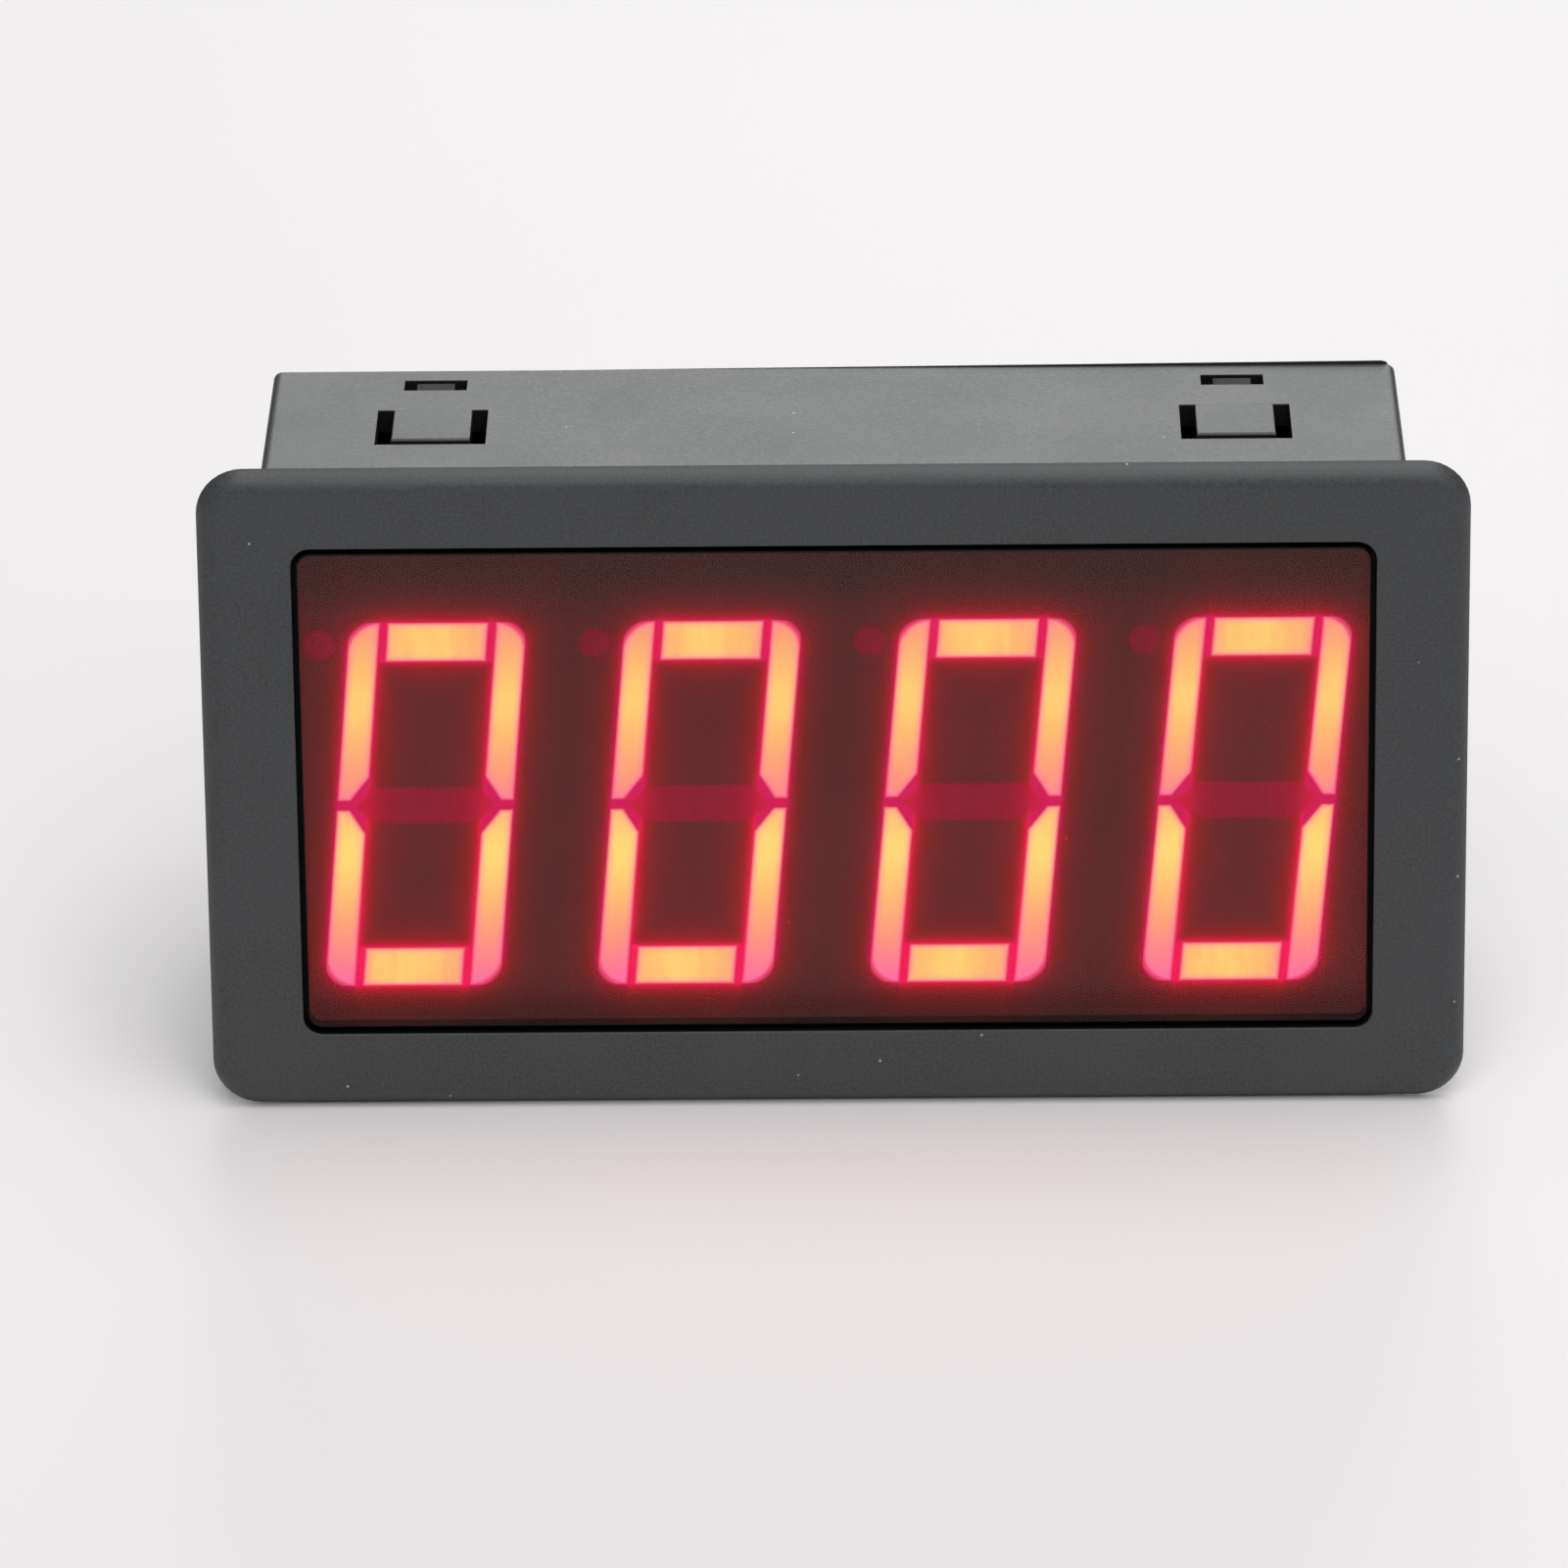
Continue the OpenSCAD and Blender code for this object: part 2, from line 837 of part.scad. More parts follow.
// Metal strip of each way: a square socket at the front, a clamp bar at the back.
module plug_contacts() {
    color("gold")
        for (way = [1:ways])
            translate([way_x(way), 0, 0]) {
                difference() {
                    part_box(
                        [0, terminal_z],
                        [socket_w, strip_front - socket_front + strip_t, socket_w],
                        socket_front
                    );
                    part_box(
                        [0, terminal_z],
                        [socket_hole, strip_front - socket_front + past, socket_hole],
                        socket_front - past
                    );
                }
                translate([-strip_w / 2, strip_front, strip_z])
                    cube([strip_w, strip_back - strip_front, strip_t]);
            }
}

module terminal_screw(way) {
    color("silver")
        translate([way_x(way), clamp_y, 0])
            difference() {
                union() {
                    translate([0, 0, screw_tip_z])
                        cylinder(h = head_z - screw_tip_z, r = screw_r);
                    translate([0, 0, head_z])
                        cylinder(h = head_t, r = head_r);
                }
                translate([-head_r, -head_slot[0] / 2, head_z + head_t - head_slot[1]])
                    cube([2 * head_r, head_slot[0], head_slot[1] + past]);
            }
}

// Clamp cage: a square loop that the wire passes through and the screw lifts.
module clamp_cage(way) {
    color("gold")
        translate([way_x(way), clamp_y, cage_bottom])
            difference() {
                translate([-cage_size[0] / 2, -cage_size[1] / 2, 0])
                    cube(cage_size);
                translate([-cage_size[0] / 2 + cage_wall, -cage_size[1], cage_floor_t])
                    cube([
                        cage_size[0] - 2 * cage_wall,
                        2 * cage_size[1],
                        cage_size[2] - cage_floor_t - cage_top_t
                    ]);
                cylinder(h = 2 * cage_size[2], r = screw_hole_r);
            }
}

// Tongue of a panel clip: a wedge that rises towards its free end, and a bead at its root.
module clip_tongue() {
    free_y = clip_slot_front + clip_front_gap;
    root_y = clip_root - clip_seam;
    width_extrude(clip_w) {
        polygon([
            [free_y, top_z - clip_t],
            [root_y, top_z - clip_t],
            [root_y, top_z],
            [free_y + clip_nose[0], top_z + clip_raise],
            [free_y, top_z + clip_raise - clip_nose[1]]
        ]);
        translate([root_y - clip_neck_l, bead_z - clip_neck_t / 2])
            square([bead_y - root_y + clip_neck_l, clip_neck_t]);
        translate([bead_y, bead_z])
            circle(bead_r);
    }
}

module panel_clip(right, bottom)
    color("dimgray")
        at_clip(right, bottom)
            clip_tongue();

housing();
filter_window();
display_shell();
display_board();
led_chips();
digit_segments(1);  // digit_1_segments
digit_segments(2);  // digit_2_segments
digit_segments(3);  // digit_3_segments
digit_segments(4);  // digit_4_segments
digit_blanks(1);  // digit_1_blanks
digit_blanks(2);  // digit_2_blanks
digit_blanks(3);  // digit_3_blanks
digit_blanks(4);  // digit_4_blanks
display_pins();
main_board();
microcontroller();
display_driver();
digit_transistors();
resistors();
ceramic_capacitors();
relay();
relay_diode();
regulator();
smoothing_capacitors();
crystal();
buzzer();
button_switches();
button(1);  // button_set
button(2);  // button_up
button(3);  // button_down
rear_cover();
terminal_header();
header_pins();
terminal_plug();
plug_contacts();
terminal_screw(1);  // terminal_screw_1
terminal_screw(2);  // terminal_screw_2
terminal_screw(3);  // terminal_screw_3
terminal_screw(4);  // terminal_screw_4
terminal_screw(5);  // terminal_screw_5
clamp_cage(1);  // clamp_cage_1
clamp_cage(2);  // clamp_cage_2
clamp_cage(3);  // clamp_cage_3
clamp_cage(4);  // clamp_cage_4
clamp_cage(5);  // clamp_cage_5
panel_clip(0, 0);  // clip_top_left
panel_clip(1, 0);  // clip_top_right
panel_clip(0, 1);  // clip_bottom_left
panel_clip(1, 1);  // clip_bottom_right
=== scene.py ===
"""A panel-mounted enlarger timer with four large red digits, put together piece by piece."""

import math

import bmesh
import bpy
import numpy as np
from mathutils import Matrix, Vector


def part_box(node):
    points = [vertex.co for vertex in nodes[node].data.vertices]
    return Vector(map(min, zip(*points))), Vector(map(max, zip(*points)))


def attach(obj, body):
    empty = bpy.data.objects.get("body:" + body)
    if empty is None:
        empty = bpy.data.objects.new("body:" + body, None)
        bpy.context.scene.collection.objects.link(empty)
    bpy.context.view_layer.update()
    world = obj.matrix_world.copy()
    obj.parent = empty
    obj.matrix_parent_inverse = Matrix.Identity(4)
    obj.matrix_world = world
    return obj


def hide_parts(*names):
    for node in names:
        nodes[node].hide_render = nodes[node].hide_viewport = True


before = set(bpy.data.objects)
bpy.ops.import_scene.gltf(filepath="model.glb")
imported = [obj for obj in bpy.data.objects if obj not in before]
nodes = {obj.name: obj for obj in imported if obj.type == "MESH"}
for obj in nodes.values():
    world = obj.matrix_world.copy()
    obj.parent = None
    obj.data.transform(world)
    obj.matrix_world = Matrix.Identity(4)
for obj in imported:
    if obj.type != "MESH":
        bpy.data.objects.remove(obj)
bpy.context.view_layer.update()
mm = 0.001

# ---------------------------------------------------------------------------
# The table and the studio.
# The timer stands on the lower edge of its bezel and tips back until the rear
# of its case touches the table. Two soft windows light it from the front and
# from above, and a low white screen behind it brightens the top of the case.
# ---------------------------------------------------------------------------
case_low, case_high = (np.array(corner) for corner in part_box("housing"))
foot_front = np.array([0.0, 0.0, case_low[2]])
foot_back = np.array([0.0, case_high[1], case_low[2] + 2.0 * mm])
table_slope = (foot_back[2] - foot_front[2]) / (foot_back[1] - foot_front[1])
table_half = 0.6
table_sink = 0.02 * mm
table_steps = 5
table_tones = ((0.775, 0.752, 0.767), (0.80, 0.785, 0.795))
camera_spot = np.array([3.98, -642.23, 263.56]) * mm
camera_turn = (67.694, 0.596, 0.399)
camera_lens = 253.76
world_tone = (0.93, 0.92, 0.93)
world_strength = 0.19

camera_data = bpy.data.cameras.new("camera")
camera_data.sensor_width = 36.0
camera_data.lens = camera_lens
camera_data.clip_start = 0.01
camera = bpy.data.objects.new("camera", camera_data)
camera.location = camera_spot
camera.rotation_euler = [math.radians(angle) for angle in camera_turn]
bpy.context.scene.collection.objects.link(camera)
bpy.context.scene.camera = camera
bpy.context.scene.view_settings.view_transform = "Standard"


class Signal:
    """One output of a finish's node tree. Arithmetic on it adds Math nodes."""

    def __init__(self, socket):
        self.socket = socket

    def math(self, operation, *values):
        """The output of a new Math node, fed with these numbers and signals."""
        made = self.socket.id_data.nodes.new("ShaderNodeMath")
        made.operation = operation
        for slot, value in zip(made.inputs, values):
            if isinstance(value, Signal):
                self.socket.id_data.links.new(value.socket, slot)
            else:
                slot.default_value = value
        return Signal(made.outputs[0])

    def __add__(self, other):
        return self.math("ADD", self, other)

    def __sub__(self, other):
        return self.math("SUBTRACT", self, other)

    def __rsub__(self, other):
        return self.math("SUBTRACT", other, self)

    def __mul__(self, other):
        return self.math("MULTIPLY", self, other)

    def __truediv__(self, other):
        return self.math("DIVIDE", self, other)

    def __gt__(self, other):
        return self.math("GREATER_THAN", self, other)

    def __lt__(self, other):
        return self.math("LESS_THAN", self, other)

    def __abs__(self):
        return self.math("ABSOLUTE", self)

    def least(self, other):
        return self.math("MINIMUM", self, other)

    def most(self, other):
        return self.math("MAXIMUM", self, other)

    def power(self, base):
        """The base raised to this signal."""
        return self.math("POWER", base, self)

    def root(self):
        return self.math("SQRT", self)

    def floor(self):
        return self.math("FLOOR", self)

    def fraction(self):
        return self.math("FRACT", self)

    __radd__ = __add__


class Finish:
    """A surface finish: a Principled shader and the nodes that feed it."""

    def __init__(self, name, **constants):
        self.material = bpy.data.materials.new(name)
        self.material.use_nodes = True
        self.tree = self.material.node_tree
        self.shader = self.tree.nodes["Principled BSDF"]
        for socket, value in constants.items():
            self.feed(self.shader.inputs[socket.replace("_", " ")], value)

    def feed(self, socket, value):
        """Links a signal to the socket, or sets its colour or number."""
        if isinstance(value, Signal):
            self.tree.links.new(value.socket, socket)
        elif socket.type == "RGBA":
            socket.default_value = (*value, 1.0)
        else:
            socket.default_value = value

    def node(self, kind, settings=None, values=None, out=0):
        """Adds a node with these settings, and feeds its sockets by name or number."""
        made = self.tree.nodes.new("ShaderNode" + kind)
        for name, value in (settings or {}).items():
            if name == "stops":
                ramp = made.color_ramp.elements
                while len(ramp) < len(value):
                    ramp.new(0.5)
                for stop, (place, colour) in zip(ramp, value):
                    stop.position = place
                    stop.color = (*colour, 1.0)
            else:
                setattr(made, name, value)
        for slot, value in (values or {}).items():
            self.feed(made.inputs[slot], value)
        return Signal(made.outputs[out])

    def place(self):
        """Object coordinates, in metres."""
        return self.node("TexCoord", out="Object")

    def axes(self, vector):
        """The x, y and z of a vector, in millimetres."""
        split = self.tree.nodes.new("ShaderNodeSeparateXYZ")
        self.feed(split.inputs[0], vector)
        return [Signal(output) * 1000 for output in split.outputs]

    def noise(self, size, detail=2.0, vector=None, rough=0.5):
        """Noise whose blotches are about size metres across, from 0 to 1."""
        values = {"Vector": vector or self.place(), "Scale": 1 / size}
        return self.node("TexNoise", values={**values, "Detail": detail, "Roughness": rough})

    def spread(self, signal, low, high):
        """Stretches low..high to 0..1 with soft ends."""
        settings = {"interpolation_type": "SMOOTHSTEP"}
        return self.node("MapRange", settings, {0: signal, 1: low, 2: high, 3: 0.0, 4: 1.0})

    def mix(self, share, first, second):
        """The first colour where share is 0, the second where it is 1."""
        return self.node("Mix", {"data_type": "RGBA"}, {0: share, 6: first, 7: second}, out=2)

    def specks(self, cell, radius, share):
        """Round specks of radius metres, in that share of the cells of a loose grid."""
        values = {"Vector": self.place(), "Scale": 1 / cell}
        near = self.node("TexVoronoi", values=values)
        draw = self.node("TexVoronoi", values=values, out="Color")
        chosen = self.node("SeparateColor", values={0: draw}) < share
        return (1 - self.spread(near, 0.4 * radius / cell, radius / cell)) * chosen

    def bump(self, height, distance, strength):
        """Relief that is distance metres high where height is 1."""
        values = {"Height": height, "Distance": distance, "Strength": strength}
        self.feed(self.shader.inputs["Normal"], self.node("Bump", values=values))

    def give(self, **sockets):
        """Feeds the shader's sockets, with _ in place of a space."""
        for name, value in sockets.items():
            self.feed(self.shader.inputs[name.replace("_", " ")], value)

    def paint(self, *pieces):
        """Puts the finish on every slot of the pieces."""
        for piece in pieces:
            piece.data.materials.clear()
            piece.data.materials.append(self.material)


def table_surface():
    """A large flat sheet, z = foot - sink + slope * y, split in a coarse grid."""
    steps = np.linspace(-table_half, table_half, table_steps)
    x, y = np.meshgrid(steps, steps)
    z = foot_front[2] - table_sink + table_slope * y
    corners = np.stack([x, y, z], axis=-1).reshape(-1, 3)
    index = np.arange(table_steps**2).reshape(table_steps, table_steps)
    quads = np.stack([index[:-1, :-1], index[:-1, 1:], index[1:, 1:], index[1:, :-1]], axis=-1)
    mesh = bpy.data.meshes.new("table")
    mesh.from_pydata(corners.tolist(), [], quads.reshape(-1, 4).tolist())
    table = bpy.data.objects.new("table", mesh)
    bpy.context.scene.collection.objects.link(table)
    return table


table = table_surface()
laminate = Finish("pale laminate", Roughness=0.55)
laminate.give(Base_Color=laminate.mix(laminate.noise(80 * mm), *table_tones))
laminate.paint(table)


def soft_box(name, spot, aim, size, watts):
    """A square studio lamp at spot, turned to face aim."""
    data = bpy.data.lights.new(name, "AREA")
    data.shape = "SQUARE"
    data.size = size
    data.energy = watts
    lamp = bpy.data.objects.new(name, data)
    away = np.array(spot) - np.array(aim)
    flat = math.hypot(away[0], away[1])
    lamp.location = spot
    lamp.rotation_euler = (math.atan2(flat, away[2]), 0, math.atan2(away[1], away[0]) + math.pi / 2)
    lamp.visible_camera = False
    bpy.context.scene.collection.objects.link(lamp)


soft_box("front window", (0.10, -0.55, 0.75), (0, 0, 0), 0.9, 5.6)
soft_box("top window", (0.12, 0.05, 0.95), (0, 0, 0), 0.7, 5.0)
soft_box("rear screen", (0.05, 0.95, 0.28), (0, 0.1, 0), 0.5, 2.9)
world = bpy.data.worlds.new("studio")
world.use_nodes = True
surroundings = world.node_tree.nodes["Background"]
surroundings.inputs["Color"].default_value = (*world_tone, 1)
surroundings.inputs["Strength"].default_value = world_strength
bpy.context.scene.world = world

# ---------------------------------------------------------------------------
# Housing.
# Bezel and case are one moulding of dark grey ABS with a fine spark-eroded
# texture. Slots for the panel clips and the cover's latches pierce its walls.
# ---------------------------------------------------------------------------
bezel_corner = 3.0 * mm
bezel_front = case_low[1]
bezel_half = case_high[[0, 2]]
shoulder_r = 1.6 * mm
opening_half = np.array([33.8, 16.45]) * mm
opening_corner = 1.2 * mm
opening_lip = 0.1 * mm
case_half = np.array([35.9, 19.5]) * mm
case_corner = 0.6 * mm
case_wall = 1.5 * mm
case_soft = 0.15 * mm
case_back = case_high[1]
inner_half = case_half - case_wall
inner_corner = 0.3 * mm
seat_y = 0.4 * mm
clip_x = 25.4 * mm
clip_slot = np.array([7.0, 9.4, 15.6]) * mm
latch_slot = np.array([4.0, 19.2, 21.05]) * mm
locating_rib = np.array([[14.4, 1.6, 16.0], [15.6, 7.6, 18.0]]) * mm
sharp_turn = math.radians(40)
weld = 0.001 * mm
sliver = 0.0005 * mm
corner_steps = 10


def rounded_ring(half, radius, depth):
    """Points round a rectangle with quarter-circle corners, at one depth."""
    turn = np.linspace(0, math.pi / 2, corner_steps)
    starts = np.repeat([0, 1, 2, 3], corner_steps) * math.pi / 2
    angle = starts + np.tile(turn, 4)
    signs = np.repeat([[1, 1], [-1, 1], [-1, -1], [1, -1]], corner_steps, axis=0)
    centre = signs * (np.array(half) - radius)
    x = centre[:, 0] + radius * np.cos(angle)
    z = centre[:, 1] + radius * np.sin(angle)
    return np.stack([x, np.full_like(x, depth), z], axis=-1)


def fillet(half, radius, depth, size, turn_in, turn_back, steps=6):
    """Rings round a soft edge: a quarter circle of that size from side to face.

    The angle runs from 0 at the side to a quarter turn at the face. Each ring is
    size * (1 - cos(angle)) further in, and size * (1 - sin(angle)) from the face's
    depth. The turns are 1 or -1, for the ways that in and back lie.
    """
    rings = []
    for angle in np.linspace(0, math.pi / 2, steps):
        inset = turn_in * size * (1 - math.cos(angle))
        shift = turn_back * size * (1 - math.sin(angle))
        rings.append(rounded_ring(np.array(half) - inset, radius - inset, depth + shift))
    return rings


def piece_from(name, corners, faces):
    """A new visible piece with these corners and faces."""
    mesh = bpy.data.meshes.new(name)
    mesh.from_pydata(corners.tolist(), [], [list(face) for face in faces])
    piece = bpy.data.objects.new(name, mesh)
    bpy.context.scene.collection.objects.link(piece)
    return piece


def lofted(name, rings, closed=False):
    """A skin over rings of equal length: point (i, j) is point j of ring i."""
    rings = np.array(rings)
    count, around = rings.shape[:2]
    index = np.arange(count * around).reshape(count, around)
    following = np.roll(index, -1, axis=0) if closed else index[1:]
    index = index if closed else index[:-1]
    quads = np.stack(
        [index, np.roll(index, -1, axis=1), np.roll(following, -1, axis=1), following], axis=-1
    )
    faces = quads.reshape(-1, 4).tolist()
    if not closed:
        faces += [list(range(around))[::-1], list(range((count - 1) * around, count * around))]
    return piece_from(name, rings.reshape(-1, 3), faces)


def finish_edges(piece, width=None, steps=3):
    """Turns faces outwards, softens hard edges and evens the shading of flat faces."""
    shape = bmesh.new()
    shape.from_mesh(piece.data)
    bmesh.ops.remove_doubles(shape, verts=shape.verts, dist=weld)
    bmesh.ops.dissolve_degenerate(shape, edges=shape.edges, dist=sliver)
    bmesh.ops.recalc_face_normals(shape, faces=shape.faces)
    shape.to_mesh(piece.data)
    shape.free()
    if width:
        soft = piece.modifiers.new("edges", "BEVEL")
        soft.width = width
        soft.segments = steps
        soft.limit_method = "ANGLE"
        soft.angle_limit = sharp_turn
        soft.harden_normals = True
    piece.data.polygons.foreach_set("use_smooth", [True] * len(piece.data.polygons))
    piece.data.set_sharp_from_angle(angle=sharp_turn)
    if not width:
        even = piece.modifiers.new("even shading", "WEIGHTED_NORMAL")
        even.keep_sharp = True


def block(low, high):
    """A plain box mesh, for cutting with."""
    low, high = np.array(low), np.array(high)
    pick = np.array([[x, y, z] for x in (0, 1) for y in (0, 1) for z in (0, 1)])
    faces = [(0, 1, 3, 2), (4, 6, 7, 5), (0, 4, 5, 1), (2, 3, 7, 6), (0, 2, 6, 4), (1, 5, 7, 3)]
    return piece_from("cutter", low + pick * (high - low), faces)


def cut_away(piece, cutters):
    """Takes the cutters out of the piece and throws them away."""
    for cutter in cutters:
        cut = piece.modifiers.new("cut", "BOOLEAN")
        cut.operation = "DIFFERENCE"
        cut.solver = "EXACT"
        cut.object = cutter
    graph = bpy.context.evaluated_depsgraph_get()
    done = bpy.data.meshes.new_from_object(piece.evaluated_get(graph))
    piece.modifiers.clear()
    piece.data = done
    for cutter in cutters:
        bpy.data.objects.remove(cutter)


def shoulder_rings(steps=12):
    """Rings down the bezel's shoulder, from its rear edge to its flat face.

    The section is part of a circle whose centre lies behind the panel plane, so the
    slope starts at asin((radius - thickness) / radius) and ends level with the face.
    """
    start = math.asin((shoulder_r + bezel_front) / shoulder_r)
    rings = []
    for angle in np.linspace(start, math.pi / 2, steps):
        inset = shoulder_r * (math.cos(start) - math.cos(angle))
        depth = shoulder_r * (math.sin(start) - math.sin(angle))
        rings.append(rounded_ring(bezel_half - inset, bezel_corner - inset, depth))
    return rings


def join_to(piece, extra):
    """Adds the extra's mesh to the piece, as a second closed shell."""
    shape = bmesh.new()
    shape.from_mesh(piece.data)
    shape.from_mesh(extra.data)
    shape.to_mesh(piece.data)
    shape.free()
    bpy.data.objects.remove(extra)


def housing_rings():
    """Rings once round the wall: flange, bezel, opening, inside, rear rim."""
    near_lip = 2 * opening_lip
    rings = [rounded_ring(case_half, case_corner, 0)]
    rings += shoulder_rings()
    rings.append(rounded_ring(opening_half + near_lip, opening_corner + near_lip, bezel_front))
    rings += fillet(opening_half, opening_corner, bezel_front, opening_lip, -1, 1)[::-1]
    rings.append(rounded_ring(opening_half, opening_corner, seat_y))
    rings.append(rounded_ring(inner_half, inner_corner, seat_y))
    rings.append(rounded_ring(inner_half, inner_corner, case_back))
    rings += fillet(case_half, case_corner, case_back, case_soft, 1, -1)[::-1]
    return rings


housing = lofted("housing_moulding", housing_rings(), closed=True)
slot_cutters = []
for side in (-1, 1):
    for top in (-1, 1):
        for width, front, back in (clip_slot, latch_slot):
            reach = sorted([top * (case_half[1] - 2 * case_wall), top * (case_half[1] + case_wall)])
            slot_cutters.append(
                block(
                    (side * clip_x - width / 2, front, reach[0]),
                    (side * clip_x + width / 2, back, reach[1]),
                )
            )
cut_away(housing, slot_cutters)
for side in (-1, 1):
    (near, front, low), (far, back, high) = locating_rib
    ends = sorted([side * near, side * far])
    join_to(housing, block((ends[0], front, low), (ends[1], back, high)))
finish_edges(housing)


mottle_size = 9 * mm
dust_cell = 1.3 * mm
dust_r = 0.11 * mm
dust_cover = 0.8
dust_tone = (0.55, 0.55, 0.53)
hollow_painted_shade = 0.05


def textured_plastic(name, colour, grain, gloss, dust=0.0, mottle=0.12, grit=0.15, hollows=()):
    """Moulded plastic: spark-eroded grain, faint mottling, and a little pale dust.

    The grain brightens the colour by up to grit at its peaks, and dust is the share of cells that
    hold a speck. A hollow is (half width, half height, front), in mm: behind that front and within
    those halves the base colour is painted nearly black, as painted shade where the moulding sees
    little light.
    """
    finish = Finish(name)
    fine = finish.noise(grain, 3.0)
    broad = finish.noise(mottle_size, 3.0)
    colour = np.array(colour)
    shade = finish.mix(finish.spread(broad, 0.3, 0.7), colour * (1 - mottle), colour * (1 + mottle))
    shade = finish.mix(finish.spread(fine, 0.35, 0.7), shade, colour * (1 + grit))
    if dust:
        dots = finish.specks(dust_cell, dust_r, dust)
        shade = finish.mix(dots * dust_cover, shade, dust_tone)
    # Painted shade: inside each hollow the base colour drops nearly to black.
    for half_x, half_z, front in hollows:
        x, y, z = finish.axes(finish.place())
        painted_shade_mask = ((abs(x) - half_x).most(abs(z) - half_z) < 0.0) * (y > front)
        shade = finish.mix(painted_shade_mask, shade, colour * hollow_painted_shade)
    finish.give(Base_Color=shade)
    finish.give(Roughness=gloss + (fine - 0.5) * 0.2 + (broad - 0.5) * 0.1)
    finish.bump(fine, 0.02 * mm, 0.6)
    return finish


# Painted shade: the hollows inside the case's skin, and behind the face in the opening, are painted
# nearly black.
under_skin = np.array([0.1, 0.08]) * mm
past_opening = 0.12 * mm
behind_face = 0.08 * mm
case_hollow = (*(case_half - under_skin), 0.1 * mm)
opening_hollow = (*(opening_half + past_opening), bezel_front + behind_face)
case_hollows = np.array([case_hollow, opening_hollow]) / mm
grain_size = 0.2 * mm
case_plastic = textured_plastic(
    "grey ABS", (0.036, 0.039, 0.0405), grain_size, 0.5, dust=0.09, grit=0.5, hollows=case_hollows
)
case_plastic.paint(housing)
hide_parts("housing")
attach(housing, "case")

# ---------------------------------------------------------------------------
# Panel clips.
# Four tongues of the same ABS, each a wedge that rises to its free end and
# bends inwards at its root when the case is pushed through the panel.
# ---------------------------------------------------------------------------
tongue_w = 5.0 * mm
tongue_t = 1.0 * mm
tongue_free = clip_slot[1] + 0.7 * mm
tongue_root = clip_slot[2] - 0.02 * mm
tongue_raise = 0.1 * mm
root_relief = 0.08 * mm
tongue_soft = 0.12 * mm
nose_r = 0.15 * mm
nose_steps = 5


def tongue_rings(middle_x, row):
    """Sections across the tongue: at each x, a wedge in y and z whose top edge drops.

    The top runs straight from the root up to a small round nose, and near both
    sides it drops along a quarter circle of radius tongue_soft. The root's lower
    edge is relieved, so that it clears the slot's end when the tongue bends.
    """
    turn = np.linspace(0, math.pi / 2, nose_steps)
    drop = tongue_soft * (1 - np.sin(turn))
    inward = tongue_soft * (1 - np.cos(turn))
    stations = np.concatenate([inward - tongue_w / 2, tongue_w / 2 - inward[::-1]])
    drops = np.concatenate([drop, drop[::-1]])
    nose_y = tongue_free + nose_r * (1 - np.sin(turn))
    nose_z = case_half[1] + tongue_raise - nose_r * (1 - np.cos(turn))
    y = np.concatenate([[tongue_free, tongue_root - root_relief, tongue_root], nose_y[::-1]])
    z = np.concatenate([np.full(2, case_half[1] - tongue_t), [case_half[1]], nose_z[::-1]])
    top = np.concatenate([[0, 0, 1], np.ones(nose_steps)])
    rings = np.empty((len(stations), len(y), 3))
    rings[:, :, 0] = middle_x + stations[:, None]
    rings[:, :, 1] = y
    rings[:, :, 2] = row * (z - drops[:, None] * top)
    return rings


for row, up in (("top", 1), ("bottom", -1)):
    for hand, side in (("left", -1), ("right", 1)):
        clip = lofted(f"panel_clip_{row}_{hand}", tongue_rings(side * clip_x, up))
        finish_edges(clip)
        case_plastic.paint(clip)
        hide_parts(f"clip_{row}_{hand}")
        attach(clip, f"{row}_{hand}_clip")

# ---------------------------------------------------------------------------
# Filter window.
# Cast acrylic in a dark wine red, with a polished face and a stepped rim that drops into the bezel
# from behind. Its sides, step and rim are painted black and opaque, as painted shade for the dark
# gap line all round.
# ---------------------------------------------------------------------------
filter_low, filter_high = (np.array(corner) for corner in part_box("filter_window"))
pane_half = opening_half - np.array([0.3, 0.4]) * mm
pane_corner = 0.9 * mm
pane_edge = 0.12 * mm
pane_air = 0.1 * mm
pane_share = 0.35
cap_inset = 0.05 * mm
rim_corner = 0.2 * mm
painted_gap_shade = (0.004, 0.003, 0.003)
pane_tones = ((0.030, 0.008, 0.008), (0.042, 0.011, 0.011))
red_dust = (0.30, 0.14, 0.13)
clear_from = seat_y / mm + 0.5
clear_margin = 1.4


def beyond(first, second):
    """Distance past a corner: sqrt(max(first, 0)**2 + max(second, 0)**2)."""
    first, second = first.most(0), second.most(0)
    return (first * first + second * second).root()


def flat_cap(half, radius, depth):
    """Two rings at one depth, which keep the shading of a flat end face true."""
    half = np.array(half)
    inner = rounded_ring(half - cap_inset, radius - cap_inset, depth)
    return [inner, rounded_ring(half, radius, depth)]


def pane_rings():
    """Rings from the polished face back over the step to the rim."""
    rim_half = filter_high[[0, 2]]
    back = filter_high[1] - pane_air
    rings = flat_cap(pane_half - pane_edge, pane_corner - pane_edge, filter_low[1])
    rings += fillet(pane_half, pane_corner, filter_low[1], pane_edge, 1, 1, 5)[::-1][1:]
    rings.append(rounded_ring(pane_half, pane_corner, seat_y))
    rings.append(rounded_ring(rim_half, rim_corner, seat_y))
    rings += flat_cap(rim_half, rim_corner, back)[::-1]
    return rings


pane = lofted("red_pane", pane_rings())
finish_edges(pane)


